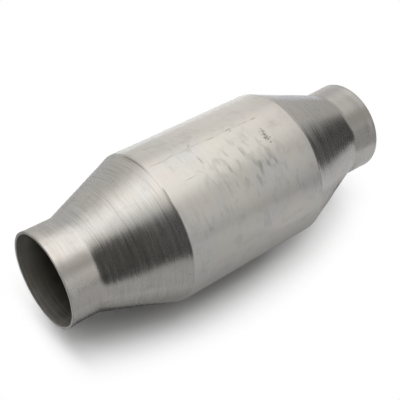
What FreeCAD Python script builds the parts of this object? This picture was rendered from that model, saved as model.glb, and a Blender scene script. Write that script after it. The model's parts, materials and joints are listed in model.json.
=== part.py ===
"""Catalytic converter with a one-piece spun casing and a wound metal honeycomb, in millimetres.

The gas flows along +X, from the inlet neck at the low end to the outlet neck at the high end.
The origin is on the axis, half-way along, and +Z is up with the converter lying on its side.

The casing starts as one length of steel tube. Each end is spun down over a roller to a cone and
a short neck, so the casing is a single revolved section of even wall. Before the second end is
spun, the honeycomb core is slid in, and the two shoulders then hold it endways.

The core is a jacket tube, called the mantle, around a flat foil and a corrugated foil that are
wound together like a carpet roll. The flat foil follows half-circles struck in turn from two
centres, which is a spiral of even pitch made of true arcs. The corrugated foil fills the channel
between its turns, with every crest brazed to the flat foil.
"""

import FreeCAD, Part
import math
import os
from FreeCAD import Vector

# Casing
overall_length = 254.0
body_diameter = 101.6
body_length = 107.0  # between the two shoulder corners
neck_diameter = 63.5  # outside, for a pipe of the same size
neck_length = 22.0  # from the neck's end to the corner where the cone starts
wall = 1.6
shoulder_radius = 4.0  # outside, where the body turns into the cone
throat_radius = 10.0  # outside, where the cone turns into the neck
rim_chamfer = 0.3  # deburred edge of each neck, inside and out

# Core mantle
mantle_wall = 1.2
mantle_clearance = 0.05  # between the mantle and the casing, on the radius
shoulder_play = 0.4  # between each end of the mantle and the corner of the shoulder

# Foils
foil_length = 90.0
foil_thickness = 0.2
layer_pitch = 6.2  # from one turn of the flat foil to the next
wave_pitch = 10.0  # along the corrugated foil, crest to crest
braze_gap = 0.02  # braze between a crest and the flat foil
winding_hole_radius = 3.0  # left by the pin that the foils are wound on

body_radius = body_diameter / 2
neck_radius = neck_diameter / 2
half_length = overall_length / 2
shoulder_x = body_length / 2
throat_x = half_length - neck_length
cone_angle = math.atan2(body_radius - neck_radius, throat_x - shoulder_x)

# The corner inside the casing where its bore meets the cone.
inner_shoulder_x = shoulder_x - wall * math.tan(cone_angle / 2)
mantle_outer_radius = body_radius - wall - mantle_clearance
mantle_inner_radius = mantle_outer_radius - mantle_wall


def point(x, radius):
    """A point of a section in the XZ plane, at that place along the axis and that radius."""
    return Vector(x, 0, radius)


def lines(points):
    """Straight edges from each point to the next."""
    return [Part.LineSegment(a, b).toShape() for a, b in zip(points, points[1:])]


def bend(before, corner, after, radius):
    """The arc that rounds a corner, on a path that turns there by the cone's angle."""
    incoming = (corner - before).normalize()
    outgoing = (after - corner).normalize()
    cut = radius * math.tan(cone_angle / 2)
    depth = radius / math.cos(cone_angle / 2) - radius
    inward = (outgoing - incoming).normalize()
    start = corner - incoming * cut
    end = corner + outgoing * cut
    return Part.Arc(start, corner + inward * depth, end).toShape()


def casing_outside():
    """The outside of the casing's outlet half, from the middle to the neck's end."""
    middle = point(0, body_radius)
    shoulder = point(shoulder_x, body_radius)
    throat = point(throat_x, neck_radius)
    edge = point(half_length - rim_chamfer, neck_radius)
    first = bend(middle, shoulder, throat, shoulder_radius)
    second = bend(shoulder, throat, edge, throat_radius)
    return [
        first,
        *lines([first.Vertexes[-1].Point, second.Vertexes[0].Point]),
        second,
        *lines([second.Vertexes[-1].Point, edge, point(half_length, neck_radius - rim_chamfer)]),
    ]


def casing_inside():
    """The inside of the same half, one wall in.

    It keeps plain corners, because they are so open that a bend would sit within 0.2 mm of them.
    """
    bore = neck_radius - wall
    return lines(
        [
            point(inner_shoulder_x, body_radius - wall),
            point(throat_x - wall * math.tan(cone_angle / 2), bore),
            point(half_length - rim_chamfer, bore),
            point(half_length, bore + rim_chamfer),
        ]
    )


def shell():
    """The spun casing: its section turned about the axis."""
    outside = casing_outside()
    inside = casing_inside()
    outlet = outside + inside + lines([outside[-1].Vertexes[-1].Point, inside[-1].Vertexes[-1].Point])
    inlet = [edge.mirror(Vector(0, 0, 0), Vector(1, 0, 0)) for edge in outlet]
    body = []
    for edge in (outside[0], inside[0]):
        corner = edge.Vertexes[0].Point
        body += lines([point(-corner.x, corner.z), corner])
    section = Part.Wire(Part.__sortEdges__(outlet + inlet + body))
    return Part.Face(section).revolve(Vector(0, 0, 0), Vector(1, 0, 0), 360)


def core_mantle():
    """The jacket tube, which fills the straight bore between the shoulders."""
    length = 2 * (inner_shoulder_x - shoulder_play)
    start = Vector(-length / 2, 0, 0)
    outside = Part.makeCylinder(mantle_outer_radius, length, start, Vector(1, 0, 0))
    inside = Part.makeCylinder(mantle_inner_radius, length, start, Vector(1, 0, 0))
    return outside.cut(inside)


def winding():
    """The half-turns of the flat foil, as (centre's y, radius of the foil's middle, start angle).

    The two centres are half a pitch apart, so each half-turn runs on from the one before it. The
    last one ends against the mantle, and the first is left at or above the winding hole's size.
    """
    last_radius = mantle_inner_radius - braze_gap - foil_thickness / 2 - layer_pitch / 4
    step = layer_pitch / 2
    half_turns = 2 * int(((last_radius - winding_hole_radius) / step + 1) / 2)
    first_radius = last_radius - (half_turns - 1) * step
    return [
        (
            layer_pitch / 4 * (-1 if k % 2 == 0 else 1),
            first_radius + k * step,
            k * math.pi,
        )
        for k in range(half_turns)
    ]


def polar(centre_y, radius, angle):
    """A point of the foils' section, which is drawn at the core's inlet face."""
    y = centre_y + radius * math.cos(angle)
    return Vector(-foil_length / 2, y, radius * math.sin(angle))


def band(outer_edges, inner_edges, ends):
    """A foil: the strip between two long edges, drawn out over the core's length."""
    caps = [Part.LineSegment(a, b).toShape() for a, b in ends]
    strip = Part.Face(Part.Wire(Part.__sortEdges__(outer_edges + inner_edges + caps)))
    return strip.extrude(Vector(foil_length, 0, 0))


def flat_foil():
    """The smooth foil: a spiral of half-circles."""
    half_foil = foil_thickness / 2
    turns = winding()

    def side(offset):
        return [
            Part.Arc(*[polar(y, r + offset, a + math.pi * s) for s in (0, 0.5, 1)]).toShape()
            for y, r, a in turns
        ]

    first_y, first_r, first_a = turns[0]
    last_y, last_r, last_a = turns[-1]
    ends = [
        [polar(first_y, first_r + s, first_a) for s in (half_foil, -half_foil)],
        [polar(last_y, last_r + s, last_a + math.pi) for s in (half_foil, -half_foil)],
    ]
    return band(side(half_foil), side(-half_foil), ends)


def crest_height():
    """Height of the wave, measured on the foil's middle, that just fills the channel.

    A sloping foil takes up more of the channel than its own thickness, and the slope depends on
    the height, so this is the root of a quadratic.
    """
    clear = layer_pitch - foil_thickness - 2 * braze_gap
    slope_share = (2 * foil_thickness / wave_pitch) ** 2
    inside_root = clear**2 - (1 - slope_share) * (clear**2 - foil_thickness**2)
    return (clear - math.sqrt(inside_root)) / (1 - slope_share)


def corrugated_foil():
    """The folded foil: a zigzag between one turn of the flat foil and the next."""
    height = crest_height()
    half_across = math.hypot(1, 2 * height / wave_pitch) * foil_thickness / 2
    crests = []
    count = 0
    for y, r, a in winding()[:-2]:
        middle = r + layer_pitch / 2
        folds = round(math.pi * middle / (wave_pitch / 2))
        for fold in range(folds):
            crests.append((y, middle, a + math.pi * fold / folds, count % 2))
            count += 1
    crests.append((y, middle, a + math.pi, count % 2))

    def side(offset):
        corners = [
            polar(y, middle + (height / 2 if high else -height / 2) + offset, angle)
            for y, middle, angle, high in crests
        ]
        return [Part.LineSegment(p, q).toShape() for p, q in zip(corners, corners[1:])]

    outer, inner = side(half_across), side(-half_across)
    ends = [
        [outer[0].Vertexes[0].Point, inner[0].Vertexes[0].Point],
        [outer[-1].Vertexes[1].Point, inner[-1].Vertexes[1].Point],
    ]
    return band(outer, inner, ends)


os.makedirs("parts", exist_ok=True)
for make in (shell, core_mantle, flat_foil, corrugated_foil):
    solid = make()
    solid.exportStep(f"parts/{make.__name__}.step")
    print(f"{make.__name__}: {solid.Volume / 1000:.1f} cm3, valid {solid.isValid()}")
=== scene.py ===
# %% [markdown]
# A catalytic converter with a spun steel casing.
#
# The real casing starts as one length of stainless tube. A lathe turns it while a roller presses
# each end down to a cone and a short neck, so the whole outside is one surface of revolution,
# covered in fine lines that run round the axis. Inside sits a honeycomb of wound foil.
#
# The solid model gives the sizes, so this first cell loads it and keeps its box.

# %% Load the frame
import bmesh
import bpy
import json
import math
from mathutils import Matrix, Vector


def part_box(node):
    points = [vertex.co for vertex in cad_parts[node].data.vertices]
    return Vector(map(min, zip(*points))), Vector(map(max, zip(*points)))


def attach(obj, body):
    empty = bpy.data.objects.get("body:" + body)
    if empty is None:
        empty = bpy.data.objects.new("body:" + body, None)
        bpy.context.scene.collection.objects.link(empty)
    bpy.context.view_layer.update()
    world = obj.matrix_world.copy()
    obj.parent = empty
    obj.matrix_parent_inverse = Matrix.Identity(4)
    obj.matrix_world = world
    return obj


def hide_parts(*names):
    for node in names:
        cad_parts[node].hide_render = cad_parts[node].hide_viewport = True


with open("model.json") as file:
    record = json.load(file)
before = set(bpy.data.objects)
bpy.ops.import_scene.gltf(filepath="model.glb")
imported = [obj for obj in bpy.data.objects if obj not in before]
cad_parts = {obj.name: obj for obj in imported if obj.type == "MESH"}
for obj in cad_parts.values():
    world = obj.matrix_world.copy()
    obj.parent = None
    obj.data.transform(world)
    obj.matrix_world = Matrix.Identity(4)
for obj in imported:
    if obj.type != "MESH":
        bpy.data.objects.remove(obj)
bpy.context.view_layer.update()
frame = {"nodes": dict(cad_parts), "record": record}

# %% [markdown]
# The casing's sizes are read from the frame and not typed again. Its box gives the length and the
# body, and the mounts in the record give the neck's outside and its bore, in millimetres. Five
# sizes are not in the frame, so they are named here: where the shoulder and the throat stand, how
# round each of them is, and the deburred edge of each rim. The shoulder is where the body turns
# into the cone, and the throat is where the cone turns into the neck.

# %% The casing's sizes
MM = 0.001

mounts = {mount["name"]: mount for mount in frame["record"]["mounts"]}
low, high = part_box("shell")
half_length = high[0]
body_radius = high[2]
neck_radius = mounts["outlet_neck"]["dims"]["r_mm"] * MM
bore_radius = mounts["outlet_bore"]["dims"]["r_mm"] * MM
wall = neck_radius - bore_radius
shoulder_x = 53.5 * MM
throat_x = 105.0 * MM
shoulder_bend = 4.0 * MM
throat_bend = 10.0 * MM
rim_chamfer = 0.3 * MM
cone_angle = math.atan2(body_radius - neck_radius, throat_x - shoulder_x)
print(f"wall {wall / MM:.2f} mm, cone angle {math.degrees(cone_angle):.1f} degrees")

# %% [markdown]
# Both Geometry Nodes and shader nodes do their sums with Math nodes, and a long chain of those is
# hard to read. This class wraps the output of a node, so that ordinary Python arithmetic on it
# adds the Math nodes. The reflected forms, such as __rsub__, are what lets "1 - mask" work.

# %% Arithmetic on node sockets
class Value:
    """An output of a node. Arithmetic on it adds Math nodes to the same tree."""

    def __init__(self, tree, socket):
        self.tree = tree
        self.socket = socket

    def math(self, operation, *others):
        return self.tree.add("ShaderNodeMath", {"operation": operation}, [self, *others])

    def output(self, name):
        """Another output of the same node."""
        return Value(self.tree, self.socket.node.outputs[name])

    def __add__(self, other):
        return self.math("ADD", other)

    def __sub__(self, other):
        return self.math("SUBTRACT", other)

    def __rsub__(self, other):
        return self.math("MULTIPLY_ADD", -1.0, other)

    def __mul__(self, other):
        return self.math("MULTIPLY", other)

    def __truediv__(self, other):
        return self.math("DIVIDE", other)

    def __lt__(self, other):
        return self.math("LESS_THAN", other)

    def __gt__(self, other):
        return self.math("GREATER_THAN", other)

    def __abs__(self):
        return self.math("ABSOLUTE")

    __radd__ = __add__
    __rmul__ = __mul__

    def rise(self, start, end):
        """0 below start, 1 above end, and a smooth step between them."""
        return self.tree.add(
            "ShaderNodeMapRange",
            {"interpolation_type": "SMOOTHSTEP"},
            {"Value": self, "From Min": start, "From Max": end},
        )

    def between(self, start, full, fading, end):
        """0 below start and above end, 1 from full to fading, and smooth steps between them."""
        return self.rise(start, full) * (1 - self.rise(fading, end))


class Tree:
    """A node tree. Its one method makes any node from a type, settings and socket values."""

    def __init__(self, node_tree):
        self.nodes = node_tree.nodes
        self.links = node_tree.links

    def add(self, kind, settings=None, inputs=None, output=0):
        node = self.nodes.new(kind)
        for name, setting in (settings or {}).items():
            setattr(node, name, setting)
        pairs = inputs.items() if isinstance(inputs, dict) else enumerate(inputs or [])
        for name, value in pairs:
            for each in value if isinstance(value, list) else [value]:
                if isinstance(each, Value):
                    self.links.new(each.socket, node.inputs[name])
                else:
                    node.inputs[name].default_value = each
        return Value(self, node.outputs[output]) if node.outputs else node


print("operators ready")

# %% [markdown]
# A Geometry Nodes tree is a recipe with named inputs. These two helpers start such a tree and turn
# its result into a plain mesh. The modifier's inputs are set by their identifiers, and the
# modifier is taken off again, because the finished piece has to be an ordinary mesh.

# %% Start a tree, and turn its result into a mesh
def geometry_tree(name, inputs):
    """A new tree, its inputs as Values, and a function that sets what it gives out."""
    group = bpy.data.node_groups.new(name, "GeometryNodeTree")
    group.interface.new_socket("Geometry", in_out="OUTPUT", socket_type="NodeSocketGeometry")
    for label, kind in inputs.items():
        group.interface.new_socket(label, in_out="INPUT", socket_type=f"NodeSocket{kind}")
    tree = Tree(group)
    source = tree.add("NodeGroupInput")

    def give(geometry):
        whole = tree.add("GeometryNodeRealizeInstances", inputs=[geometry])
        tree.add("NodeGroupOutput", inputs=[whole])

    return group, tree, {label: source.output(label) for label in inputs}, give


def grown(name, group, sizes):
    """The mesh object that a tree makes with those sizes."""
    piece = bpy.data.objects.new(name, bpy.data.meshes.new(name))
    bpy.context.collection.objects.link(piece)
    modifier = piece.modifiers.new("recipe", "NODES")
    modifier.node_group = group
    for item in group.interface.items_tree:
        if item.in_out == "INPUT":
            modifier[item.identifier] = sizes[item.name]
    evaluated = piece.evaluated_get(bpy.context.evaluated_depsgraph_get())
    mesh = bpy.data.meshes.new_from_object(evaluated)
    piece.modifiers.remove(modifier)
    piece.data = mesh
    mesh.calc_loop_triangles()
    print(f"{name}: {len(mesh.loop_triangles)} triangles")
    return piece


print("tree helpers ready")

# %% [markdown]
# Spun and brushed metal is never one grey. Every line that the roller and the abrasive belt left
# runs round the axis, so the noise that draws them is squeezed along X and left long in Y and Z.
# An image of brushed metal could do the same, but it would have a seam and blur close up. Reading
# Object coordinates keeps the lines on the metal from whatever side it is seen.

# %% Materials: coordinates and stretched noise
def new_material(name):
    """An empty material, and its tree."""
    material = bpy.data.materials.new(name)
    material.use_nodes = True
    material.node_tree.nodes.clear()
    return material, Tree(material.node_tree)


def finish_material(tree, **sockets):
    """A Principled shader with those sockets, given out as the surface."""
    named = {name.replace("_", " "): value for name, value in sockets.items()}
    shader = tree.add("ShaderNodeBsdfPrincipled", inputs=named)
    tree.add("ShaderNodeOutputMaterial", inputs={"Surface": shader})


def places(tree):
    """Object coordinates, X itself, and the angle from the top towards the front, in radians."""
    place = tree.add("ShaderNodeTexCoord", output="Object")
    along = tree.add("ShaderNodeSeparateXYZ", inputs=[place])
    forward = along.output("Y") * -1.0
    return place, along, forward.math("ARCTAN2", along.output("Z"))


def lines(tree, place, along, around, detail):
    """Noise with about so many blotches to the metre along the axis and round it."""
    stretch = [place, (along, around, around)]
    squeezed = tree.add("ShaderNodeVectorMath", {"operation": "MULTIPLY"}, stretch)
    noise = {"Vector": squeezed, "Scale": 1.0, "Detail": detail}
    return tree.add("ShaderNodeTexNoise", inputs=noise)


def mixed(tree, share, first, second):
    """One colour turning into another as share goes from 0 to 1."""
    sockets = {0: share, 6: first, 7: second}
    return tree.add("ShaderNodeMix", {"data_type": "RGBA"}, sockets, output=2)


def raised(tree, height, depth):
    """The normal of a surface that has that height, from 0 to 1, times depth in metres."""
    return tree.add("ShaderNodeBump", inputs={"Strength": 1.0, "Distance": depth, "Height": height})


print("material helpers ready")

# %% [markdown]
# The casing has been handled. Each scratch, scuff and dark speck that stands out on the real one
# is a row of this table, and its shape is an ellipse that lies on the metal. They could be painted
# on an image instead, but a row of numbers is easier to check and to move. Noise then breaks the
# ellipses up, because a real scuff is a patch of fine scratches and not an even blot.

# %% Scuffs and specks
# Each mark: its x in mm, its degrees from the top towards the front, its length along the axis and
# its width round it in mm, its lean in degrees, and how dark it is.
SCUFFS = [
    (28.7, 18.1, 1.4, 1.6, 0.0, 0.9),
    (28.0, 20.5, 2.2, 2.0, 20.0, 1.0),
    (27.4, 22.8, 2.0, 2.6, 0.0, 0.9),
    (26.9, 25.4, 3.0, 2.6, 30.0, 1.0),
    (28.1, 27.2, 1.6, 1.4, 0.0, 0.8),
    (29.9, 26.5, 1.9, 1.6, 0.0, 0.8),
    (28.2, 30.2, 2.4, 1.8, 10.0, 0.7),
    (22.3, 26.6, 1.8, 1.2, 40.0, 0.5),
    (24.2, 42.7, 2.2, 7.0, 0.0, 0.5),
    (18.5, 43.3, 2.8, 6.0, 0.0, 0.55),
    (12.6, 41.5, 3.0, 7.0, 0.0, 0.35),
    (-21.7, 19.0, 2.0, 9.0, 0.0, 0.45),
    (5.6, 25.4, 1.8, 8.0, -3.0, 0.45),
    (-8.0, 33.0, 2.0, 9.0, 0.0, 0.4),
    (-56.6, 91.0, 1.6, 1.6, 0.0, 0.9),
    (70.2, 35.5, 1.6, 1.6, 0.0, 0.9),
    (10.1, 8.2, 1.6, 1.6, 0.0, 1.0),
    (-20.5, 4.1, 1.6, 1.6, 0.0, 0.8),
    (79.3, 7.3, 1.8, 1.8, 0.0, 0.9),
    # The two rows at x near -54 draw a dark dotted line along the inlet shoulder's bend.
    (-54.6, -6.0, 1.0, 34.0, 0.0, 0.9),
    (-53.9, 30.0, 1.2, 12.0, 0.0, 0.8),
    (-35.0, 27.8, 13.0, 0.8, 0.0, 0.5),
]


def spot(tree, along, angle, x, degrees, length, width, lean=0.0):
    """1 at the middle of a mark and 0 at its edge. Its length lies along the axis, in metres."""
    across = (angle - math.radians(degrees)) * body_radius
    forward = along - x
    if lean:
        turn = math.radians(lean)
        forward, across = (
            forward * math.cos(turn) + across * math.sin(turn),
            across * math.cos(turn) - forward * math.sin(turn),
        )
    forward = (forward / (length / 2)).math("POWER", 2.0)
    across = (across / (width / 2)).math("POWER", 2.0)
    return 1 - (forward + across).rise(0.0, 1.0)


def scuff_marks(tree, along, angle, grain):
    """How strongly the scuffs darken each place. The smear lies under the thickest of them."""
    scuffs = 0.0
    for x, degrees, length, width, lean, darkness in SCUFFS:
        mark = spot(tree, along, angle, x * MM, degrees, length * MM, width * MM, lean)
        scuffs = (mark * darkness).math("MAXIMUM", scuffs)
    smear = spot(tree, along, angle, 27.6 * MM, 23.4, 6 * MM, 14 * MM) * grain.rise(0.44, 0.6)
    return scuffs * (0.32 + grain.rise(0.36, 0.6) * 0.5) + smear * 0.6


print(len(SCUFFS), "scuffs and specks")

# %% [markdown]
# The tube was rolled from sheet and welded along its length, and the weld was then ground flat.
# What is left is a thin line that wanders and breaks off, with a little brown beside it. A raised
# bead would be wrong here, since nothing stands proud, so the line is in the colour alone.

# %% The line of the tube's weld
weld_angle = math.radians(6.4)
weld_wander = 0.09  # radians, from end to end of the noise
weld_span = [edge * MM for edge in (-54, -46, 30, 36)]


def weld_line(tree, place, along, angle, mottle):
    """How strong the brown beside the weld is, and how strong its dark line."""
    wander = (lines(tree, place, 60, 60, 4) - 0.5) * weld_wander
    off_line = abs(angle - weld_angle + wander)
    span = along.between(*weld_span)
    broken = mottle.rise(0.44, 0.58) * (0.45 + along.rise(-30 * MM, 6 * MM) * 0.55)
    stain = (1 - off_line.rise(0.004, 0.02)) * span * (0.1 + broken * 0.4)
    line = (1 - off_line.rise(0.001, 0.008)) * span * broken
    return stain, line


print(f"weld {math.degrees(weld_angle):.1f} degrees from the top")

# %% [markdown]
# The outside of the casing has two finishes. The cones and necks are covered in deep brushed
# lines, while the body between the shoulders is smoother and cloudier. One mask, which rises just
# past each shoulder, goes from the one finish to the other. Real brushing is a few hundredths of a
# millimetre deep, far too fine for the mesh. So the lines are drawn in the normal, where they
# catch light as scratches do, and a little in the roughness and in the colour, as painted shade in
# the lines and a painted highlight on their crests.
#
# The colour is laid on in this order: the steel's own clouds, painted shade in the lines and a
# painted highlight on their crests, smudges from hands, the weld, the scuffs, the outlet end, which
# is less brushed and darkened with painted shade, a band of painted shade on each neck, and the
# lilac that heat left on one cone.

# %% Material: the outside of the casing
ROSY = (0.675, 0.64, 0.605, 1)
STRAW = (0.67, 0.655, 0.61, 1)
COOL = (0.63, 0.63, 0.62, 1)
LINE_SHADE = (0.34, 0.32, 0.29, 1)
CREST_HIGHLIGHT = (0.86, 0.85, 0.82, 1)
SMUDGE = (0.36, 0.35, 0.33, 1)
SPECKLE = (0.42, 0.40, 0.37, 1)
WELD_BROWN = (0.50, 0.44, 0.33, 1)
SCUFFED = (0.16, 0.15, 0.14, 1)
OUTLET_SHADE = (0.34, 0.335, 0.325, 1)
NECK_SHADE = (0.36, 0.34, 0.31, 1)
HEAT_LILAC = (0.60, 0.59, 0.67, 1)

# Where the neck's band of painted shade and the lilac start, are full, begin to fade and end.
neck_shade_turn = [math.radians(edge) for edge in (28, 40, 46, 57)]
lilac_turn = [math.radians(edge) for edge in (-34, -14, -6, 3)]
lilac_reach = [edge * MM for edge in (56, 68, 96, 106)]
brush_depth = 0.07 * MM


def casing_outside_material():
    """The brushed, handled and stained steel of the outside, with painted shade and highlights in it.
    """
    material, tree = new_material("casing_outside")
    place, along, angle = places(tree)
    spun = abs(along).rise(shoulder_x - 0.8 * MM, shoulder_x + 0.8 * MM)
    necks = abs(along).rise(throat_x - 3 * MM, throat_x + 3 * MM)
    dull_and_shaded_outlet = along.rise(25 * MM, 100 * MM)
    worked = spun * (1 - dull_and_shaded_outlet * 0.6) * (1 - necks * 0.6)

    hair = lines(tree, place, 2400, 110, 2)
    strokes = lines(tree, place, 950, 42, 3)
    passes = lines(tree, place, 210, 9, 2)
    dashes = lines(tree, place, 300, 110, 1)
    clouds = lines(tree, place, 26, 32, 4)
    tints = lines(tree, place, 17, 21, 3)
    mottle = lines(tree, place, 120, 150, 3)
    grain = lines(tree, place, 1100, 1100, 2)

    colour = mixed(tree, tints.rise(0.42, 0.58), STRAW, ROSY)
    colour = mixed(tree, clouds.rise(0.44, 0.64) * 0.8, colour, COOL)
    # Painted shade in the brush lines, and a painted highlight on their crests.
    painted_line_shade = (1 - strokes.rise(0.3, 0.48)) * (0.10 + worked * 0.20)
    colour = mixed(tree, painted_line_shade, colour, LINE_SHADE)
    painted_crest_highlight = strokes.rise(0.52, 0.7) * (0.06 + worked * 0.22)
    colour = mixed(tree, painted_crest_highlight, colour, CREST_HIGHLIGHT)
    handled = spot(tree, along, angle, 4 * MM, 34.0, 80 * MM, 46 * MM)
    handled = handled + clouds.rise(0.44, 0.62) * 0.6
    smudges = dashes.rise(0.50, 0.70) * handled * (1 - spun) * 0.4
    colour = mixed(tree, smudges, colour, SMUDGE)
    colour = mixed(tree, (1 - mottle.rise(0.30, 0.46)) * 0.22, colour, SPECKLE)

    stain, weld = weld_line(tree, place, along, angle, mottle)
    colour = mixed(tree, stain, colour, WELD_BROWN)
    marks = scuff_marks(tree, along, angle, grain).math("MAXIMUM", weld * 0.65)
    colour = mixed(tree, marks, colour, SCUFFED)

    # Painted shade on the outlet end, which is also less brushed.
    colour = mixed(tree, dull_and_shaded_outlet * 0.42, colour, OUTLET_SHADE)
    # A band of painted shade round each neck.
    neck_shade_band = necks * angle.between(*neck_shade_turn)
    colour = mixed(tree, neck_shade_band * 0.68, colour, NECK_SHADE)
    heated = angle.between(*lilac_turn) * along.between(*lilac_reach)
    colour = mixed(tree, heated * 0.6, colour, HEAT_LILAC)

    brushing = hair * 0.3 + strokes * (0.4 + passes * 0.6)
    height = brushing * (worked * 0.93 + 0.07) + mottle * (1 - spun) * 0.30
    rough = 0.26 - (1 - spun) * 0.03 + (strokes - 0.5) * 0.2 + (clouds - 0.5) * 0.12
    finish_material(
        tree,
        Base_Color=colour,
        Metallic=1.0,
        Roughness=rough,
        Normal=raised(tree, height, brush_depth),
    )
    return material


outside_steel = casing_outside_material()
print("material:", outside_steel.name)

# %% [markdown]
# Inside, nobody brushed the steel. It keeps the grey of the rolled tube, with the roller's marks
# still running round, and further in it is darkened with painted shade. The cut rim is bare and dull.
# The foil carries a matt brown washcoat, so it is more like clay than like metal. One function
# makes all four finishes, because they differ only in their numbers.

# %% Materials: bore, rim, mantle and foil
BORE_SHADE = (0.12, 0.11, 0.09, 1)


def plain_steel(name, colour, roughness, line_depth, metallic=1.0, inner_shade=0.0):
    """Steel with marks that run round it. Inner shade is how much painted shade darkens it deep inside.
    """
    material, tree = new_material(name)
    place, along, _ = places(tree)
    marks = lines(tree, place, 900, 12, 3)
    clouds = lines(tree, place, 60, 60, 3)
    dark = tuple(0.6 * channel for channel in colour)
    bright = tuple(min(1.0, 1.35 * channel) for channel in colour)
    shade = mixed(tree, clouds.rise(0.3, 0.7), (*dark, 1), (*colour, 1))
    shade = mixed(tree, marks.rise(0.52, 0.68) * 0.6, shade, (*bright, 1))
    # Painted shade that darkens the steel deep inside the bore.
    if inner_shade:
        deep = 1 - abs(along).rise(half_length - 20 * MM, half_length - 2 * MM)
        shade = mixed(tree, deep * inner_shade, shade, BORE_SHADE)
    finish_material(
        tree,
        Base_Color=shade,
        Metallic=metallic,
        Roughness=roughness + (marks - 0.5) * 0.2,
        Normal=raised(tree, marks, line_depth),
    )
    return material


bore_steel = plain_steel("bore_steel", (0.76, 0.75, 0.71), 0.34, 0.09 * MM, 0.82, inner_shade=0.88)
rim_steel = plain_steel("rim_steel", (0.46, 0.45, 0.43), 0.36, 0.005 * MM)
mantle_steel = plain_steel("mantle_steel", (0.55, 0.53, 0.50), 0.42, 0.02 * MM, 0.8)
foil_steel = plain_steel("washcoated_foil", (0.66, 0.58, 0.47), 0.6, 0.01 * MM, 0.25)
print("materials:", [item.name for item in (bore_steel, rim_steel, mantle_steel, foil_steel)])

# %% [markdown]
# The casing follows a rule, which a lathe hand would write as "body size up to the shoulder, then
# the cone, then neck size". As a formula, its radius is the larger of the neck and the smaller of
# the body and the cone. The smooth forms of smaller and larger round the two bends. A drawn
# profile could do the same, but its points would have to be placed by hand, and the rule serves
# the inside as well, where every surface lies one wall further in.

# %% The rule of the section
def section_radius(size, x, inset):
    """The rule of the section, for a surface that lies inset under the outside."""
    slope = math.tan(cone_angle)
    shift = inset * math.tan(cone_angle / 2)
    body = size["Body Radius"] - inset
    neck = size["Neck Radius"] - inset
    cone = body - (abs(x) - (size["Shoulder"] - shift)) * slope
    rounded = cone.math("SMOOTH_MIN", body, size["Shoulder Bend"])
    return rounded.math("SMOOTH_MAX", neck, size["Throat Bend"])


print(f"the cone falls {math.tan(cone_angle):.3f} m in each metre")

# %% [markdown]
# A tube is a flat sheet rolled up. Rolling a grid by a formula keeps its rows and columns even,
# which the fine rings on the necks need, and lets the radius change from row to row.

# %% Roll a flat grid
def unit_grid(tree, stations, around):
    """A grid one unit square, and the share of the way along it, from 0 to 1."""
    sizes = {"Vertices X": stations, "Vertices Y": around}
    share = tree.add("ShaderNodeSeparateXYZ", inputs=[tree.add("GeometryNodeInputPosition")])
    return tree.add("GeometryNodeMeshGrid", inputs=sizes), share.output("X") + 0.5


def round_place(tree, along, radius):
    """Where a grid's point goes when the grid is rolled: its Y, from -0.5 to 0.5, goes once round."""
    turn = tree.add("ShaderNodeSeparateXYZ", inputs=[tree.add("GeometryNodeInputPosition")])
    turn = turn.output("Y") * math.tau
    y, z = turn.math("COSINE") * radius, turn.math("SINE") * radius
    return tree.add("ShaderNodeCombineXYZ", inputs=[along, y, z])


def rolled(tree, grid, along, radius):
    """A grid rolled round the X axis."""
    position = round_place(tree, along, radius)
    return tree.add("GeometryNodeSetPosition", inputs={"Geometry": grid, "Position": position})


print("grid helpers ready")

# %% [markdown]
# A roller leaves fine rings and shallow waves in what it has spun. Both are real form, and the
# waves bend what the metal mirrors, so noise presses them into the mesh and they aren't left to
# the material. They fade out before the ends, where the rims have to meet the outside exactly.

# %% The roller's marks
ring_depth = 0.008 * MM
wave_depth = 0.6 * MM


def roller_marks(tree, size, x):
    """How far the roller left the outside under its rule: fine rings, and shallow waves."""
    spun = abs(x).rise(shoulder_x, shoulder_x + 2 * MM)
    rings = {"W": x, "Scale": 420.0, "Detail": 1.0}
    rings = tree.add("ShaderNodeTexNoise", {"noise_dimensions": "1D"}, rings) * spun
    waves = {"Vector": round_place(tree, x, neck_radius), "Scale": 45.0, "Detail": 1.0}
    waves = tree.add("ShaderNodeTexNoise", inputs=waves) * (spun * 0.7 + 0.3)
    sunk = rings * size["Ring Depth"] + waves * size["Wave Depth"]
    return sunk * (1 - abs(x).rise(half_length - 6 * MM, half_length - MM))


print(f"rings {ring_depth / MM:.3f} mm deep, waves {wave_depth / MM:.1f} mm at most")

# %% [markdown]
# The recipe rolls four grids, one for the outside, one for the inside and one for each rim, and
# welds their edges into a closed wall. Each takes its own material before they are joined.

# %% The casing's recipe
inside_stations = 61
rim_stations = 4  # out to the face over the chamfer, across the face, and back
weld_distance = 0.002 * MM
sharpest_smooth_bend = math.radians(30)


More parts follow.
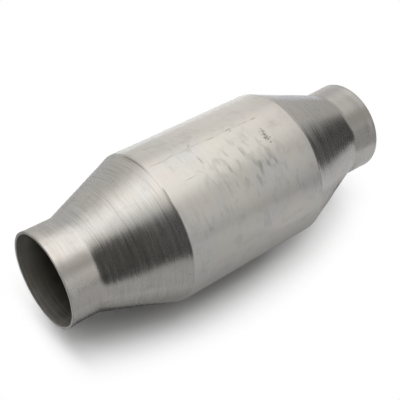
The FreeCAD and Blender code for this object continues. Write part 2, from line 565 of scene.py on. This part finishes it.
def casing_recipe():
    """The tree that makes the casing from its sizes."""
    inputs = {
        "Half Length": "Float",
        "Body Radius": "Float",
        "Neck Radius": "Float",
        "Shoulder": "Float",
        "Wall": "Float",
        "Chamfer": "Float",
        "Shoulder Bend": "Float",
        "Throat Bend": "Float",
        "Ring Depth": "Float",
        "Wave Depth": "Float",
        "Stations": "Int",
        "Around": "Int",
        "Outside": "Material",
        "Inside": "Material",
        "Rim": "Material",
    }
    group, tree, size, give = geometry_tree("spun casing", inputs)
    edge = size["Half Length"] - size["Chamfer"]

    grid, share = unit_grid(tree, size["Stations"], size["Around"])
    x = (share * 2.0 - 1.0) * edge
    radius = section_radius(size, x, 0.0) - roller_marks(tree, size, x)
    outside = rolled(tree, grid, x, radius)
    outside = tree.add("GeometryNodeFlipFaces", inputs=[outside])
    painted = {"Geometry": outside, "Material": size["Outside"]}
    outside = tree.add("GeometryNodeSetMaterial", inputs=painted)

    grid, share = unit_grid(tree, inside_stations, size["Around"])
    x = (share * 2.0 - 1.0) * edge
    inside = rolled(tree, grid, x, section_radius(size, x, size["Wall"]))
    painted = {"Geometry": inside, "Material": size["Inside"]}
    inside = tree.add("GeometryNodeSetMaterial", inputs=painted)

    parts = [outside, inside]
    for side in (1.0, -1.0):
        grid, share = unit_grid(tree, rim_stations, size["Around"])
        face = (share > 0.2) * (share < 0.8)
        x = (edge + face * size["Chamfer"]) * side
        land = size["Wall"] - size["Chamfer"] * 2.0
        drop = ((share > 0.2) + (share > 0.8)) * size["Chamfer"] + (share > 0.5) * land
        rim = rolled(tree, grid, x, size["Neck Radius"] - drop)
        if side > 0:
            rim = tree.add("GeometryNodeFlipFaces", inputs=[rim])
        rim = tree.add("GeometryNodeSetMaterial", inputs={"Geometry": rim, "Material": size["Rim"]})
        parts.append(rim)

    joined = tree.add("GeometryNodeJoinGeometry", inputs=[parts])
    joined = {"Geometry": joined, "Distance": weld_distance}
    welded = tree.add("GeometryNodeMergeByDistance", inputs=joined)
    rounded = tree.add("GeometryNodeInputMeshEdgeAngle") < sharpest_smooth_bend
    smooth = {"Geometry": welded, "Shade Smooth": rounded}
    give(tree.add("GeometryNodeSetShadeSmooth", {"domain": "EDGE"}, smooth))
    return group


casing_group = casing_recipe()
print("recipe:", casing_group.name, "with", len(casing_group.nodes), "nodes")

# %% [markdown]
# A smooth minimum with distance d cuts d / 6 off a corner. An arc of radius r that turns by the
# cone's angle a cuts off r (1 / cos(a / 2) - 1). Setting the two equal gives the distance to use
# for a bend of a known radius.

# %% Grow the casing
def smooth_distance(radius):
    """The distance for SMOOTH_MIN and SMOOTH_MAX that gives a bend of that radius."""
    return 6 * radius * (1 / math.cos(cone_angle / 2) - 1)


casing = grown(
    "casing",
    casing_group,
    {
        "Half Length": half_length,
        "Body Radius": body_radius,
        "Neck Radius": neck_radius,
        "Shoulder": shoulder_x,
        "Wall": wall,
        "Chamfer": rim_chamfer,
        "Shoulder Bend": smooth_distance(shoulder_bend),
        "Throat Bend": smooth_distance(throat_bend),
        "Ring Depth": ring_depth,
        "Wave Depth": wave_depth,
        "Stations": 391,
        "Around": 201,
        "Outside": outside_steel,
        "Inside": bore_steel,
        "Rim": rim_steel,
    },
)
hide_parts("shell")
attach(casing, "root")

# %% [markdown]
# The core of the converter is two foils wound together like a carpet roll, one flat and one
# corrugated. The real ones are thinner than paper, and leave about 200 cells to the square inch.
# Here there are about 100, which is far finer than the solid model and still reads as cells in
# the mouth. Cells cut in straight rows through a block would look wrong, because in a wound core
# they follow the turns. So a spiral curve gives the path of each foil. The corrugated one is the
# same spiral, half a layer further out, pushed in and out by a sine of the distance along it.

# %% The foil recipe
def foil_recipe():
    """The tree that winds one foil, waved or flat."""
    inputs = {
        "Start Radius": "Float",
        "End Radius": "Float",
        "Turns": "Float",
        "Step": "Float",
        "Wave Height": "Float",
        "Wave Length": "Float",
        "Thickness": "Float",
        "Foil Width": "Float",
        "Foil": "Material",
    }
    group, tree, size, give = geometry_tree("wound foil", inputs)
    spiral = tree.add(
        "GeometryNodeCurveSpiral",
        inputs={
            "Resolution": 128,
            "Rotations": size["Turns"],
            "Start Radius": size["Start Radius"],
            "End Radius": size["End Radius"],
            "Height": 0.0,
        },
    )
    steps = {"Curve": spiral, "Length": size["Step"]}
    path = tree.add("GeometryNodeResampleCurve", {"mode": "LENGTH"}, steps)
    travelled = tree.add("GeometryNodeSplineParameter").output("Length")
    wave = (travelled * math.tau / size["Wave Length"]).math("SINE") * size["Wave Height"] * 0.5
    outward = [tree.add("GeometryNodeInputPosition")]
    outward = tree.add("ShaderNodeVectorMath", {"operation": "NORMALIZE"}, outward)
    push = tree.add("ShaderNodeVectorMath", {"operation": "SCALE"}, {"Vector": outward, "Scale": wave})
    path = tree.add("GeometryNodeSetPosition", inputs={"Geometry": path, "Offset": push})
    edge = tree.add(
        "GeometryNodeCurvePrimitiveQuadrilateral",
        inputs={"Width": size["Thickness"], "Height": size["Foil Width"]},
    )
    drawn = {"Curve": path, "Profile Curve": edge, "Fill Caps": True}
    sheet = tree.add("GeometryNodeCurveToMesh", inputs=drawn)
    turned = {"Geometry": sheet, "Rotation": (0.0, math.pi / 2, 0.0)}
    sheet = tree.add("GeometryNodeTransform", inputs=turned)
    give(tree.add("GeometryNodeSetMaterial", inputs={"Geometry": sheet, "Material": size["Foil"]}))
    return group


foil_group = foil_recipe()
print("recipe:", foil_group.name, "with", len(foil_group.nodes), "nodes")

# %% [markdown]
# Both foils start at the pin that they are wound on, and the flat one ends where it meets the
# mantle. The wave is lower than the channel by the foils' own thickness and a little more, so that
# its crests stop a hair short of the flat foil, where the real one has its braze. Ten steps to a
# wave are enough for it to look round.

# %% Wind the two foils
foil_low, foil_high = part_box("flat_foil")
foil_radius = foil_high[1]  # where the end of the flat foil meets the mantle
foil_thickness = 0.12 * MM
layer_pitch = 2.4 * MM
wave_length = 5.0 * MM
wave_height = layer_pitch - 2.2 * foil_thickness  # a foil's thickness off each crest, and a little room
wave_step = wave_length / 10
flat_step = 1.2 * MM
pin_radius = 2.5 * MM


def wind(name, inner, outer, height, step):
    """One wound foil. Its wave has that height, from crest to crest, and a flat foil has none."""
    piece = grown(
        name,
        foil_group,
        {
            "Start Radius": inner,
            "End Radius": outer,
            "Turns": (outer - inner) / layer_pitch,
            "Step": step,
            "Wave Height": height,
            "Wave Length": wave_length,
            "Thickness": foil_thickness,
            "Foil Width": foil_high[0] - foil_low[0],
            "Foil": foil_steel,
        },
    )
    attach(piece, "root")
    return piece


flat_winding = wind("flat_winding", pin_radius, foil_radius - foil_thickness, 0.0, flat_step)
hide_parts("flat_foil")
wave_winding = wind(
    "corrugated_winding",
    pin_radius + layer_pitch / 2,
    foil_radius - layer_pitch / 2 - foil_thickness,
    wave_height,
    wave_step,
)
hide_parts("corrugated_foil")
for slot in frame["nodes"]["core_mantle"].material_slots:
    slot.material = mantle_steel
print(f"the winding reaches {foil_radius / MM:.2f} mm from the axis")

# %% [markdown]
# The object lies on a large white table. The photograph's table is white right to the edge of the
# frame, and only the shadow round the belly shows that it is there. Matt paper under soft lamps
# would leave grey far out, and more light would be wrong for the object. So the table's material
# mixes two things: matt paper near the object, which keeps the shadow, and away from it a plain
# white that only the camera and mirror or glass rays see, and that lights nothing. Where the one
# turns into the other is painted light: it draws the shadow's outer edge, and it clears the shadow
# past the inlet's mouth.

# %% The table
floor_z = low[2]
table_reach = 0.65
paper_white = 0.9
shadow_middle = (-11 * MM, 44 * MM)
shadow_reach = (148 * MM, 92 * MM)
shadow_fade = (0.49, 1.66)  # the squared distance from the middle, in shares of that reach
inlet_light_fade = (114 * MM, 135 * MM)
least_white = 0.032  # the share of plain white that lies over the paper in the shadow too


def stage_sheet(name, corners, height, material):
    """A level sheet, its corners given as (x, y)."""
    mesh = bpy.data.meshes.new(name)
    mesh.from_pydata([(x, y, height) for x, y in corners], [], [tuple(range(len(corners)))])
    mesh.materials.append(material)
    sheet = bpy.data.objects.new(name, mesh)
    bpy.context.collection.objects.link(sheet)
    return sheet


def seen_rays(tree):
    """1 for the rays that show a thing, straight or in metal or glass, and 0 for those that light."""
    path = tree.add("ShaderNodeLightPath")
    seen = path.output("Is Camera Ray").math("MAXIMUM", path.output("Is Glossy Ray"))
    return seen.math("MAXIMUM", path.output("Is Transmission Ray"))


def table_material():
    """White paper that keeps the shadow, and turns into plain white away from the object."""
    material, tree = new_material("table_white")
    place = tree.add("ShaderNodeTexCoord", output="Object")
    place = tree.add("ShaderNodeSeparateXYZ", inputs=[place])
    x, y = place.output("X"), place.output("Y")
    along = ((x - shadow_middle[0]) / shadow_reach[0]).math("POWER", 2.0)
    across = ((y - shadow_middle[1]) / shadow_reach[1]).math("POWER", 2.0)
    # Painted light: past the inlet's mouth the plain white clears the shadow away.
    painted_light_past_inlet = (y * 0.1 - x).rise(*inlet_light_fade)
    away = 1 - (1 - (along + across).rise(*shadow_fade)) * (1 - painted_light_past_inlet)
    matt = tree.add("ShaderNodeBsdfDiffuse", inputs={"Color": (paper_white,) * 3 + (1,)})
    white = tree.add("ShaderNodeEmission", inputs={"Strength": 1.0})
    share = seen_rays(tree) * (least_white + away * (1 - least_white))
    surface = tree.add("ShaderNodeMixShader", inputs=[share, matt, white])
    tree.add("ShaderNodeOutputMaterial", inputs={"Surface": surface})
    return material


square = [(-1, -1), (1, -1), (1, 1), (-1, 1)]
square = [(x * table_reach, y * table_reach) for x, y in square]
table = stage_sheet("table", square, floor_z, table_material())
print(table.name, "ready, at", round(floor_z, 4))

# %% [markdown]
# The light is a photographer's plain set: one wide softbox overhead, two high up behind and in
# front, and three lower down at the sides. Each is a large disc, so that the shadow's edge stays
# soft, and together they light a matt surface to about its own colour. Two narrow spots in line
# with the pipe shine in at its ends, so that the honeycomb isn't lost in the dark. The room adds a
# faint even light and shows as plain white. The metal would mirror such discs as hard-edged spots,
# so it sees none of them, and the next step makes what it does mirror.

# %% Lamps and room
softbox_distance = 2.1
softbox_size = 0.8
spot_distance = 0.8
spot_power = 14.0
room_light = 0.074


def lamp(name, kind, place, power, **settings):
    """A lamp that faces the origin, and that neither the camera nor the metal sees."""
    data = bpy.data.lights.new(name, kind)
    data.energy = power
    for setting, value in settings.items():
        setattr(data, setting, value)
    thing = bpy.data.objects.new(name, data)
    bpy.context.collection.objects.link(thing)
    thing.location = place
    thing.rotation_euler = Vector(place).to_track_quat("Z", "Y").to_euler()
    thing.visible_glossy = False
    thing.visible_camera = False


# Each softbox: its heading and height in degrees, and its power.
SOFTBOXES = {
    "overhead": (0, 90, 12.8),
    "back_high": (120, 68, 9.9),
    "front_high": (300, 68, 8.3),
    "right": (30, 45, 12.1),
    "right_low": (0, 22, 16.9),
    "left": (150, 45, 5.9),
}
for name, (heading, height, power) in SOFTBOXES.items():
    heading, height = math.radians(heading), math.radians(height)
    level = math.cos(height)
    place = Vector((level * math.cos(heading), level * math.sin(heading), math.sin(height)))
    place = place * softbox_distance
    lamp(f"softbox_{name}", "AREA", place, power, shape="DISK", size=softbox_size)

beam = {"spot_size": math.radians(5.2), "spot_blend": 0.3, "shadow_soft_size": 0.01}
lamp("inlet_spot", "SPOT", (-spot_distance, 0.0, 0.0), spot_power, **beam)
lamp("outlet_spot", "SPOT", (spot_distance, 0.0, 0.0), spot_power, **beam)

world = bpy.data.worlds.new("white_room")
world.use_nodes = True
world.node_tree.nodes.clear()
room = Tree(world.node_tree)
strength = room_light + seen_rays(room) * (1 - room_light)
sky = room.add("ShaderNodeBackground", inputs={"Color": (1, 1, 1, 1), "Strength": strength})
room.add("ShaderNodeOutputWorld", inputs={"Surface": sky})
bpy.context.scene.world = world
bpy.context.scene.view_settings.view_transform = "Standard"
print(len(SOFTBOXES), "softboxes and 2 spots ready")

# %% [markdown]
# Brushed metal has no look of its own: what it shows is the room round it. The real room was a
# light tent, brightest overhead and behind, and open on the camera's side, and the two dark
# patches on the cones are its openings. So a dome that only mirror rays can see carries that
# room. Its light grows with height, and two tables then add the bright patches and take light
# away for the dark ones.

# %% The tent that the metal mirrors
tent_radius = 1.6
tent_colour = (1, 0.985, 0.96, 1)

# Each patch: its headings and its heights in degrees, the softness of its edge, and how much light
# it adds, or what share of the light it takes away.
BRIGHT_PATCHES = [
    ((24, 62), (25, 56), 12, 0.35),
    ((47, 65), (-40, 25), 7, 0.30),
    ((-75, -36), (12, 42), 7, 0.09),
]
DARK_PATCHES = [
    ((80, 130), (44, 68), 8, 0.19),
    ((-75, -45), (-8, 6), 3, 0.10),
    ((-156, -86), (-90, 53), 6, 0.885),
    ((-156, -86), (44, 70), 8, 0.33),
    ((-44, 5), (-30, 16), 2.5, 0.71),
    ((-44, 5), (1, 16), 4, 0.72),
    ((20, 44), (-3, 2), 1.5, 0.2),
]


def mirror_only(thing):
    """Hide a thing from all rays but those that a shiny surface sends out."""
    for rays in ("camera", "diffuse", "shadow", "transmission"):
        setattr(thing, f"visible_{rays}", False)


def tent_material():
    """The light of the tent, by heading and height."""
    material, tree = new_material("tent_light")
    place = tree.add("ShaderNodeTexCoord", output="Object")
    toward = tree.add("ShaderNodeSeparateXYZ", inputs=[place])
    turn = toward.output("Y").math("ARCTAN2", toward) * (180 / math.pi)
    rise = (toward.output("Z") / tent_radius).math("ARCSINE") * (180 / math.pi)

    def patch(turns, rises, soft):
        """1 inside a range of headings and heights, falling off over the soft edge."""
        inside = 1.0
        for value, (start, end) in ((turn, turns), (rise, rises)):
            inside = value.between(start - soft, start + soft, end - soft, end + soft) * inside
        return inside

    glow = 0.56 + rise.rise(37, 65) * 0.62 + rise.rise(64, 74) * 0.08
    for turns, rises, soft, added in BRIGHT_PATCHES:
        glow = glow + patch(turns, rises, soft) * added
    for turns, rises, soft, taken in DARK_PATCHES:
        glow = glow * (1 - patch(turns, rises, soft) * taken)
    light = tree.add("ShaderNodeEmission", inputs={"Color": tent_colour, "Strength": glow})
    tree.add("ShaderNodeOutputMaterial", inputs={"Surface": light})
    return material


tent_mesh = bpy.data.meshes.new("light_tent")
tent_form = bmesh.new()
bmesh.ops.create_icosphere(tent_form, subdivisions=4, radius=tent_radius)
tent_form.to_mesh(tent_mesh)
tent_form.free()
tent_mesh.materials.append(tent_material())
tent = bpy.data.objects.new("light_tent", tent_mesh)
bpy.context.collection.objects.link(tent)
mirror_only(tent)
print("tent of", len(tent.data.polygons), "faces, with", len(DARK_PATCHES), "dark patches")

# %% [markdown]
# The metal's lower half mirrors the table, and what it mirrors there is not evenly white. Level
# cards that only mirror rays see lie a hair over the table and give it its light and dark places.
# These are painted reflection: grey with painted shade near the object, where the table lies in its
# shadow, and black where the room beyond the table was dark. Where two of them overlap, the higher
# one counts.

# %% Cards on the table
def paper(name, whiteness, glow):
    """Matt paper. Its glow only shows in mirror images, and lights nothing."""
    material, tree = new_material(name)
    matt = tree.add("ShaderNodeBsdfDiffuse", inputs={"Color": (whiteness,) * 3 + (1,)})
    light = tree.add("ShaderNodeEmission", inputs={"Strength": seen_rays(tree) * glow})
    surface = tree.add("ShaderNodeAddShader", inputs=[matt, light])
    tree.add("ShaderNodeOutputMaterial", inputs={"Surface": surface})
    return material


# Each card: the whiteness of its paper, its glow, its height over the table in mm and its corners
# in metres.
CARDS = {
    "back": (0.8, 0.03, 0.25, [(-1.2, 0.0), (1.2, 0.0), (1.2, 1.2), (-1.2, 1.2)]),
    "near_left": (0.29, 0.09, 0.5, [(-1.2, 0.0), (-1.2, -0.24), (-0.045, -0.24), (-0.045, 0.0)]),
    "near_middle": (
        0.29,
        0.17,
        0.5,
        [(-0.045, 0.0), (-0.045, -0.24), (0.02, -0.24), (0.02, -0.17), (0.06, -0.17), (0.04, 0.0)],
    ),
    "near_right": (0.385, 0.13, 0.5, [(0.04, 0.0), (0.06, -0.17), (0.15, -0.17), (0.14, 0.0)]),
    "near_outlet": (0.385, 0.23, 0.5, [(0.14, 0.0), (0.15, -0.17), (1.2, -0.17), (1.2, 0.0)]),
    "front_left": (0.25, 0.03, 0.5, [(-1.2, -0.24), (-1.2, -1.2), (0.02, -1.2), (0.02, -0.24)]),
    "front_middle": (
        0.21,
        0.305,
        0.5,
        [(0.02, -0.17), (0.02, -1.2), (0.62, -1.2), (0.251, -0.364), (0.165, -0.17)],
    ),
    "front_right": (
        0.21,
        0.2,
        0.5,
        [(0.165, -0.17), (0.251, -0.364), (0.62, -1.2), (1.2, -1.2), (1.2, -0.17)],
    ),
    "back_left": (
        0.315,
        0.16,
        0.5,
        [(-1.2, 0.06), (0.02, 0.06), (0.06, 0.26), (0.4, 1.2), (-1.2, 1.2)],
    ),
    "back_right": (0.315, 0.36, 0.5, [(0.15, 0.06), (1.2, 0.06), (1.2, 1.2), (0.39, 0.36)]),
    "front_outlet": (
        0.21,
        0.16,
        0.75,
        [(0.18, -0.1), (0.21, -0.2), (0.29, -0.36), (1.2, -0.36), (1.2, -0.1)],
    ),
    "under_inlet": (
        0.29,
        0.18,
        0.75,
        [(-0.13, -0.06), (-0.045, -0.075), (-0.045, -0.026), (-0.13, -0.026)],
    ),
    "under_outlet": (
        0.29,
        0.2,
        0.75,
        [(-0.045, -0.075), (0.14, -0.075), (0.14, -0.03), (-0.045, -0.03)],
    ),
    # The contact card is painted shade, a dark sheet where the table lies in the object's shadow.
    "contact_shade": (0.25, 0.03, 0.6, [(-0.13, -0.03), (0.13, -0.03), (0.13, 0.06), (-0.13, 0.06)]),
    "black_left": (
        0.053,
        0.0,
        1.0,
        [(-0.126, -0.148), (-0.9, -0.148), (-0.9, -1.2), (0.3, -1.2)],
    ),
    "black_right": (0.053, 0.0, 1.0, [(0.32, 0.04), (0.32, -0.14), (1.2, -0.7), (1.2, 0.2)]),
}
for name, (whiteness, glow, height, corners) in CARDS.items():
    sheet_paper = paper(f"paper_{name}", whiteness, glow)
    card = stage_sheet(f"card_{name}", corners, floor_z + height * MM, sheet_paper)
    mirror_only(card)
print(len(CARDS), "cards ready")

# %% [markdown]
# A camera placed by eye is always a little off. This one was found by matching the outline of the
# solid to the photograph's, which gave its direction, its distance and its lens. It looks down at
# 39 degrees, from in front of the inlet, through a lens of about 79 mm.

# %% Camera
view_forward = Vector((0.4954, 0.6012, -0.6270)).normalized()
view_right = Vector((0.7718, -0.6359, 0.0)).normalized()
view_up = view_right.cross(view_forward)
centre_right, centre_up, centre_away = 6.24 * MM, 3.14 * MM, 574.9 * MM

camera_data = bpy.data.cameras.new("camera")
camera_data.sensor_width = 36.0
camera_data.lens = 78.9
camera = bpy.data.objects.new("camera", camera_data)
bpy.context.collection.objects.link(camera)
place = -(view_right * centre_right + view_up * centre_up + view_forward * centre_away)
turn = Matrix((view_right, view_up, -view_forward)).transposed()
camera.matrix_world = Matrix.Translation(place) @ turn.to_4x4()
bpy.context.scene.camera = camera
print("camera at", tuple(round(c, 3) for c in place))
